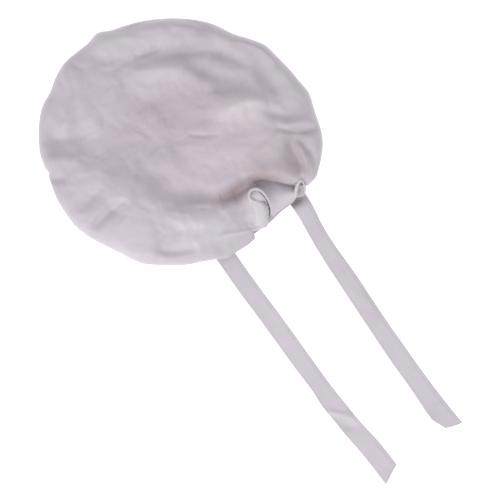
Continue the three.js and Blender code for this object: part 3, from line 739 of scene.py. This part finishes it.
def add_room():
    world = bpy.data.worlds.new("studio")
    world.use_nodes = True
    set_inputs(world.node_tree.nodes["Background"], Color=(0.98, 0.985, 1.0, 1.0), Strength=0.8)
    bpy.context.scene.world = world
    up = Vector((0, 0, 1))
    from_lower_left = up * 0.75 - PHOTO_UP - PHOTO_RIGHT * 0.5
    add_softbox("key", from_lower_left, distance=1.6, size=1.1, power=15.0)
    add_softbox("top", up, distance=2.0, size=1.6, power=6.0)
    bpy.context.scene.view_settings.view_transform = "Standard"
    bpy.context.scene.view_settings.look = "None"


def add_floor():
    mesh = bpy.data.meshes.new("floor")
    corners = [(x * FLOOR_HALF, y * FLOOR_HALF, 0) for x, y in ((-1, -1), (1, -1), (1, 1), (-1, 1))]
    mesh.from_pydata(corners, [], [(0, 1, 2, 3)])
    floor = add_object("floor", mesh)
    floor.location.z = -FLOOR_BELOW
    material = bpy.data.materials.new("pale_floor")
    material.use_nodes = True
    shader = material.node_tree.nodes["Principled BSDF"]
    set_inputs(shader, Base_Color=(0.9, 0.9, 0.9, 1), Roughness=0.9, Specular_IOR_Level=0.1)
    set_inputs(shader, Emission_Color=(1, 1, 1, 1), Emission_Strength=0.55)
    mesh.materials.append(material)


# Materials

def plug(value, node, socket):
    """A value or a link on one of a node's sockets."""
    if isinstance(value, bpy.types.NodeSocket):
        node.id_data.links.new(value, node.inputs[socket])
    else:
        node.inputs[socket].default_value = value


def set_inputs(node, **inputs):
    """Values or links on a node's sockets. A socket's name has its spaces written as underlines."""
    for name, value in inputs.items():
        plug(value, node, name.replace("_", " "))


def add_node(tree, kind, **inputs):
    node = tree.nodes.new(kind)
    set_inputs(node, **inputs)
    return node


def mapped(tree, place, **inputs):
    """A place after a mapping node with these inputs."""
    return add_node(tree, "ShaderNodeMapping", Vector=place, **inputs).outputs["Vector"]


def colour_mix(tree, factor, a, b):
    node = tree.nodes.new("ShaderNodeMix")
    node.data_type = "RGBA"
    for socket, value in ((0, factor), (6, a), (7, b)):
        plug(value, node, socket)
    return node.outputs[2]


def remap(tree, value, from_min, from_max, to_min, to_max):
    ends = {"From_Min": from_min, "From_Max": from_max, "To_Min": to_min, "To_Max": to_max}
    node = add_node(tree, "ShaderNodeMapRange", Value=value, **ends)
    node.interpolation_type = "SMOOTHSTEP"
    return node.outputs["Result"]


def bumped(tree, height, strength, distance, **inputs):
    """A surface's normal after a bump."""
    look = {"Strength": strength, "Distance": distance, **inputs}
    return add_node(tree, "ShaderNodeBump", Height=height, **look).outputs["Normal"]


PATCH_HALF_Z = 1e6  # so high that height doesn't count
Patch = namedtuple("Patch", "x y half_x half_y turn soft share colour")


def tone(x, y, half_x, half_y, degrees, soft, share, *colour):
    """A soft oval of painted light or shade, a lighter or darker colour: middle, half sizes, turn, softness,
    share, then red, green and blue.
    """
    return Patch(x, y, half_x, half_y, math.radians(degrees), soft, share, (*colour, 1))


def patch_mask(tree, place, patch):
    """A soft oval: its share inside, and 0 outside. Its place and size are in millimetres."""
    mapping = add_node(tree, "ShaderNodeMapping", Vector=place, Rotation=(0, 0, patch.turn))
    mapping.vector_type = "TEXTURE"
    middle = (CENTRE_X + patch.x, CENTRE_Y + patch.y, 0)
    set_inputs(mapping, Location=middle, Scale=(patch.half_x, patch.half_y, PATCH_HALF_Z))
    reach = tree.nodes.new("ShaderNodeVectorMath")
    reach.operation = "LENGTH"
    plug(mapping.outputs["Vector"], reach, 0)
    return remap(tree, reach.outputs["Value"], 1 + patch.soft, 1 - patch.soft, 0.0, patch.share)


def new_material(name, **look):
    """A material, its nodes, its shader, and places on the piece in millimetres."""
    material = bpy.data.materials.new(name)
    material.use_nodes = True
    tree = material.node_tree
    shader = tree.nodes["Principled BSDF"]
    set_inputs(shader, **look)
    coordinates = tree.nodes.new("ShaderNodeTexCoord")
    place = mapped(tree, coordinates.outputs["Object"], Scale=(1 / MM, 1 / MM, 1 / MM))
    return material, tree, shader, place


def silk_material(name, base, deep, blush, painted_patches=()):
    """Satin: fine weave, soft uneven tone, a broad sheen and fine creases, and the painted light and shade of
    any patches given.
    """
    look = {"Specular_IOR_Level": 0.32, "Sheen_Weight": 0.22, "Sheen_Roughness": 0.4}
    material, tree, shader, place = new_material(name, Sheen_Tint=(0.95, 0.92, 0.97, 1), **look)

    def noise(vector, scale, detail, roughness=0.5, distortion=0.0):
        kind = {"Scale": scale, "Detail": detail, "Roughness": roughness, "Distortion": distortion}
        return add_node(tree, "ShaderNodeTexNoise", Vector=vector, **kind).outputs["Fac"]

    broad = remap(tree, noise(place, 0.017, 2.5, 0.55, 0.6), 0.35, 0.68, 0.0, 1.0)
    mottle = remap(tree, noise(place, 0.07, 3.0, 0.6, 0.4), 0.35, 0.7, 0.0, 0.5)
    colour = colour_mix(tree, broad, base, deep)
    colour = colour_mix(tree, mottle, colour, blush)
    # Each patch paints light or shade into the colour.
    for patch in painted_patches:
        colour = colour_mix(tree, patch_mask(tree, place, patch), colour, patch.colour)
    gloss = remap(tree, noise(place, 0.05, 3.0), 0.3, 0.7, 0.44, 0.56)

    weave = tree.nodes.new("ShaderNodeMath")
    weave.operation = "ADD"
    thread = {"Scale": 0.9, "Distortion": 0.6, "Detail": 1.0, "Detail_Scale": 0.5}
    for socket, turn in enumerate((22, 112)):
        along = mapped(tree, place, Rotation=(0, 0, math.radians(turn)))
        threads = add_node(tree, "ShaderNodeTexWave", Vector=along, **thread)
        plug(threads.outputs["Fac"], weave, socket)
    woven = bumped(tree, weave.outputs["Value"], 0.12, 0.00006)
    stretched = mapped(tree, place, Rotation=(0, 0, math.radians(35)), Scale=(1, 2.6, 1))
    creased = bumped(tree, noise(stretched, 0.05, 4.0, 0.55, 1.2), 0.5, 0.0009, Normal=woven)
    set_inputs(shader, Base_Color=colour, Roughness=gloss, Normal=creased)
    return material


def silk_thread(name):
    """Sewing thread: fine twist, a little lighter and shinier than the cloth."""
    material, tree, shader, place = new_material(name, Specular_IOR_Level=0.4, Sheen_Weight=0.15)
    kind = {"Scale": 2.2, "Distortion": 1.0, "Detail": 2.0, "Detail_Scale": 1.0}
    twist = add_node(tree, "ShaderNodeTexWave", Vector=place, **kind).outputs["Fac"]
    colour = colour_mix(tree, twist, THREAD_DARK, THREAD_LIGHT)
    gloss = remap(tree, twist, 0.0, 1.0, 0.35, 0.5)
    set_inputs(shader, Base_Color=colour, Roughness=gloss, Normal=bumped(tree, twist, 0.4, 0.00008))
    return material


THREAD_DARK = (0.44, 0.4, 0.44, 1)
THREAD_LIGHT = (0.56, 0.52, 0.56, 1)
BASE = (0.475, 0.435, 0.475, 1)
DEEP = (0.425, 0.385, 0.425, 1)
BLUSH = (0.47, 0.42, 0.46, 1)
# A lighter copy of the silk's colour for the nape's pieces and the ties: painted light and sheen.
LIT_PALE = (0.515, 0.475, 0.515, 1)

# Painted light and shade: soft ovals where the cloth's colour is made lighter or darker to stand in for how
# light falls on it.
CREASE_SHADE = tone(53, -92, 22, 9, -32, 0.6, 0.5, 0.35, 0.285, 0.295)  # painted shade in the crease between crown and casing
FINGER_SHEEN = tone(32, -117, 24, 13, 70, 0.5, 0.7, 0.56, 0.52, 0.56)  # painted sheen, lighter on the finger's back
ROOT_SHADOW = tone(74, -137, 10, 5, -5, 0.7, 0.75, 0.14, 0.12, 0.13)  # painted shadow at the root of the right tie
HEM_SHADE = tone(55, -137, 15, 1.8, 1, 0.6, 0.6, 0.3, 0.27, 0.28)  # painted shade under the casing's hem
CROWN_LIGHT_AND_SHADE = [
    tone(12, -9, 92, 70, -34, 0.3, 0.5, 0.475, 0.4, 0.455),  # painted shade, darker and pinker over the head opening, where light passes through a single layer
    tone(17, 32, 44, 20, -34, 0.5, 0.7, 0.415, 0.35, 0.4),  # painted shade over the middle
    tone(85, -15, 24, 22, -34, 0.6, 0.7, 0.54, 0.49, 0.53),  # painted light on the swell on the right
    tone(34, -52, 42, 14, -34, 0.5, 0.7, 0.53, 0.46, 0.51),  # painted light on the low part towards the nape
    tone(-52, 6, 50, 24, -34, 0.3, 0.7, 0.4, 0.36, 0.4),  # painted shade left of the middle
    tone(-140, 48, 28, 18, 60, 0.55, 0.7, 0.385, 0.345, 0.385),  # painted shade in the pinched fold on the left
    tone(18, 126, 60, 20, -34, 0.6, 0.6, 0.53, 0.49, 0.53),  # painted light along the far edge
    tone(-32, -108, 30, 17, -34, 0.6, 0.7, 0.54, 0.5, 0.54),  # painted light on the flat part near the left tie
    tone(32, -89, 27, 9, -3, 0.8, 0.75, 0.34, 0.265, 0.275),  # painted shade in the hollow behind the finger
    tone(74, -93, 28, 14, -42, 0.85, 0.6, 0.34, 0.285, 0.3),  # painted shade above the notch
    CREASE_SHADE,
    FINGER_SHEEN,
    tone(104, -88, 28, 15, 55, 0.7, 0.42, 0.37, 0.31, 0.33),  # painted shade on the flank over the right tie
]


# Pieces

def crown_angles():
    """Angles round the crown, closer together at the nape and most of all at the notch."""
    spans = [np.linspace(low, high, count, endpoint=False) for low, high, count in CROWN_COLUMNS]
    return np.radians(np.concatenate(spans))


def make_crown():
    rings = 1 - (1 - np.linspace(0, 1, TOP_RINGS)) ** RING_CROWDING
    angles = crown_angles()[None, :]
    top = crown_top(angles, rings[:-1, None])
    under = crown_underside(angles, np.linspace(0, 1, UNDERSIDE_RINGS)[:, None])
    grid = np.concatenate([top, under])
    grid[0] = grid[0].mean(axis=0)
    grid[..., 2] = np.maximum(grid[..., 2], LOWEST)
    return cloth_mesh("crown_silk", grid, CLOTH_WALL, wraps=True, pole=True)


def make_band():
    angle = np.radians(np.linspace(BAND["from"], BAND["to"], BAND["steps"] + 1))[None, :]
    down = np.linspace(0, 1, BAND["rows"] + 1)[:, None]
    from_end = np.minimum(angle - angle.min(), angle.max() - angle)
    near_end = 1 - smooth(from_end / math.radians(BAND["end_lift_over"]))
    top = seam_height(angle) - SEAM_GAP - BAND_WALL
    foot = mix(0.0, TIE_WALL + SEAM_GAP, near_end)
    lean = np.sqrt(BAND_WIDTH**2 - (top - foot) ** 2)
    swell = BAND["swell"] * np.sin(math.pi * down) * (1 + 0.5 * np.sin(BAND["waves"] * angle))
    x, y = seam_point(angle, down * lean + swell)
    return cloth_mesh("front_band_silk", points_at(x, y, mix(top, foot, down)), BAND_WALL)


def casing_grid():
    along = np.linspace(0, 1, CASING["steps"] + 1)[None, :]
    down = np.linspace(0, 1, CASING["rows"] + 1)[:, None]
    seam_x, seam_y = seam_point(np.radians(mix(CASING["from"], CASING["to"], along)), 0)
    at_end = smooth((np.abs(along - 0.5) - CASING["end_from"]) / CASING["end_over"])
    x = mix(seam_x, mix(CASING["left"], CASING["right"], along), down)
    drawn_in = CASING_STEP["drawn_in"] * smooth((x - CASING_STEP["x"]) / CASING_STEP["soft"] + 0.5)
    y = mix(seam_y, CASING["foot"] + drawn_in + CASING["end_rise"] * at_end, down)
    return points_at(x, y, casing_height(x, y))


def tie_grid(stops, cut, root_x):
    """A tie's lower face. Its end is cut short by the lengths in cut, from one edge to the other."""
    rows = []
    for x, y, z, wider in stops:
        rows.append((x, y, under_casing(root_x, y) if z == "under" else z, TIE_WIDTH + wider))
    along = np.linspace(0, 1, TIE_STEPS + 1)[:, None]
    across = np.linspace(-0.5, 0.5, TIE_LANES + 1)[None, :]
    length = np.abs(rows[-1][1] - rows[0][1])
    u = along * (1 - np.interp(across + 0.5, np.linspace(0, 1, len(cut)), cut) / length)
    at = catmull(rows, u)
    ahead = catmull(rows, np.minimum(1, u + LOOK_AHEAD)) - catmull(rows, np.maximum(0, u - LOOK_AHEAD))
    side = unit(np.stack([-ahead[..., 1], ahead[..., 0]], axis=-1))
    xy = at[..., :2] + side * (across * at[..., 3])[..., None]
    x, y = xy[..., 0], xy[..., 1]
    ripple = RIPPLE["high"] * np.sin(y / RIPPLE["short"]) * np.sin(y / RIPPLE["long"] + 1) * (2 * across) ** 2
    folds = fold_height(x, y, TIE_FOLDS)
    z = np.maximum(0, at[..., 2] + folds + np.abs(ripple) * smooth((RIPPLE["from_y"] - y) / RIPPLE["over"]))
    return np.concatenate([xy, z[..., None]], axis=-1)


def make_tie(name, lower):
    """A flat doubled strip with rounded edges and a shallow groove inside each, where it is stitched."""
    lanes = lower.shape[1]
    across = np.linspace(-0.5, 0.5, lanes)
    from_edge = (0.5 - np.abs(across)) * TIE_WIDTH
    thick = TIE_WALL * np.sqrt(np.clip(from_edge / TIE_EDGE["round"] + TIE_EDGE["least"], 0, 1))
    thick = thick - TIE_EDGE["groove_deep"] * bell((from_edge - TIE_EDGE["groove"]) / TIE_EDGE["groove_wide"])
    upper = lower + np.stack([np.zeros(lanes), np.zeros(lanes), thick], axis=-1)[None]
    return closed_mesh(name, upper, lower, 1)


def stitch_row(points, up):
    """Short capsules of thread, laid end to end with gaps along a line of points on the cloth."""
    step = np.linalg.norm(np.diff(points, axis=0), axis=1)
    reached = np.concatenate([[0], np.cumsum(step)])
    rows = []
    for middle in np.arange(STITCH["pitch"], reached[-1] - STITCH["pitch"], STITCH["pitch"]):
        ends = (middle - STITCH["half"], middle + STITCH["half"])
        a, b = (np.array([np.interp(end, reached, points[:, k]) for k in range(3)]) for end in ends)
        ahead = unit(b - a)
        side = unit(np.cross(ahead, up))
        lift = np.cross(side, ahead)
        turns = np.linspace(0, 2 * math.pi, STITCH_SIDES + 1)[:-1]
        ring = [math.cos(t) * side + math.sin(t) * lift for t in turns]
        row = [a]
        for share in STITCH["shoulders"]:
            row += [mix(a, b, share) + STITCH["thick"] * r for r in ring]
        rows.append(row + [b])
    return rows


def make_stitches(name, rows):
    """One mesh of many stitches, each a capsule: a point, two rings and a point."""
    points = np.array([point for row in rows for point in row])
    faces = []
    for n, row in enumerate(rows):
        first = n * len(row)
        near, far, last = first + 1, first + 1 + STITCH_SIDES, first + len(row) - 1
        for j in range(STITCH_SIDES):
            k = (j + 1) % STITCH_SIDES
            faces.append([first, near + k, near + j])
            faces.append([near + j, near + k, far + k, far + j])
            faces.append([far + j, far + k, last])
    return add_mesh(name, points, faces)


def tie_stitches(name, lower):
    """Two rows of stitches that lie in the grooves of a tie, from where it comes out from under the crown."""
    rows = []
    for lane in GROOVE_LANES:
        line = lower[:, lane] + (0, 0, TIE_WALL - STITCH["sunk"])
        rows += stitch_row(line[line[:, 1] < TIE_SHOWS_FROM], np.array((0.0, 0.0, 1.0)))
    return make_stitches(name, rows)


def casing_stitches(casing):
    """A row of stitches along the foot of the casing, where it is bare."""
    line = casing[HEM_ROW]
    shown = line[(line[:, 0] > HEM_FROM) & (line[:, 0] < HEM_TO)] + (0, 0, STITCH["lift"])
    return make_stitches("nape_casing_stitches", stitch_row(shown, np.array((0.0, -0.5, 0.8))))


def round_top(path, outward, half, top):
    """Rings of points over the rounded top of a doubled wall of cloth that stands on a path."""
    rings = []
    for turn in np.linspace(0, math.pi, ROUND_TOP_POINTS):
        place = path + outward * half[:, None] * math.cos(turn)
        rings.append(np.column_stack([place, top - half + half * math.sin(turn)]))
    return rings


def make_finger():
    """The rolled rim of the finger."""
    at = catmull(FINGER, np.linspace(0, 1, FINGER_STEPS))
    path, foot, top = at[:, :2], at[:, 2], at[:, 3]
    ahead = unit(np.gradient(path, axis=0))
    outward = np.stack([ahead[:, 1], -ahead[:, 0]], axis=1)
    half = np.full(len(path), FINGER_WALL / 2)
    rings = round_top(path, outward, half, top)
    for side in (-1, 1):
        rings.append(np.column_stack([path + side * outward * half[:, None], foot]))
    return swept_mesh("nape_pleat", np.stack(rings, axis=1))


def make_loop():
    """A little open cup of cloth: a doubled wall round a hollow with a floor."""
    at = catmull(LOOP + [LOOP[0]], np.linspace(0, 1, LOOP_STEPS, endpoint=False))
    path, foot, top, half = at[:, :2], at[:, 2], at[:, 3], at[:, 4] / 2
    ahead = unit(np.roll(path, -1, axis=0) - np.roll(path, 1, axis=0))
    outward = np.stack([-ahead[:, 1], ahead[:, 0]], axis=1)
    thick = half[:, None]
    centre = path.mean(axis=0)
    high, deep, near, half_way, far = LOOP_FLOOR.values()
    floor = foot.mean() + high
    rings = round_top(path, outward, half, top)
    for share, level in ((near, floor + deep), (half_way, floor), (far, floor), (far, floor - deep)):
        place = mix(path - outward * thick, centre, share)
        rings.append(np.column_stack([place, np.full(len(path), level)]))
    rings.append(np.column_stack([path + outward * thick, foot - deep]))
    return swept_mesh("nape_loop", np.stack(rings, axis=1), True)


def dress(piece, material, nodes=()):
    """The piece with its material and slot, attached to the root, and with the CAD nodes that it stands for
    hidden.
    """
    piece.data.materials.append(material)
    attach(piece, "root")
    if nodes:
        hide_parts(*nodes)
    return piece


def main():
    add_camera()
    add_room()
    add_floor()
    silk = silk_material("silk_satin", BASE, DEEP, BLUSH, CROWN_LIGHT_AND_SHADE)
    # The nape's silk and the ties' silk start from a lighter copy of the crown's colour: painted light and
    # sheen.
    silk_plain = silk_material("silk_satin_nape", LIT_PALE, BASE, LIT_PALE, [CREASE_SHADE, FINGER_SHEEN, HEM_SHADE])
    silk_band = silk_material("silk_satin_band", DEEP, DEEP, BLUSH)
    silk_tie = silk_material("silk_satin_tie", LIT_PALE, BASE, LIT_PALE, [ROOT_SHADOW])
    crown = dress(make_crown(), silk, ["crown"])
    band = dress(make_band(), silk_band, ["front_band"])
    casing_points = casing_grid()
    casing_silk = cloth_mesh("nape_casing_silk", casing_points, CASING_WALL)
    casing = dress(casing_silk, silk_plain, ["nape_casing"])
    finger = dress(make_finger(), silk_plain)
    loop = dress(make_loop(), silk_plain)
    left = tie_grid(LEFT_TIE, LEFT_TIE_CUT, LEFT_TIE_ROOT_X)
    right = tie_grid(RIGHT_TIE, RIGHT_TIE_CUT, RIGHT_TIE_ROOT_X)
    left_tie = dress(make_tie("left_tie_silk", left), silk_tie, ["left_tie"])
    right_tie = dress(make_tie("right_tie_silk", right), silk_tie, ["right_tie"])

    thread = silk_thread("sewing_thread")
    left_stitches = dress(tie_stitches("left_tie_stitches", left), thread)
    right_stitches = dress(tie_stitches("right_tie_stitches", right), thread)
    hem_stitches = dress(casing_stitches(casing_points), thread)


main()
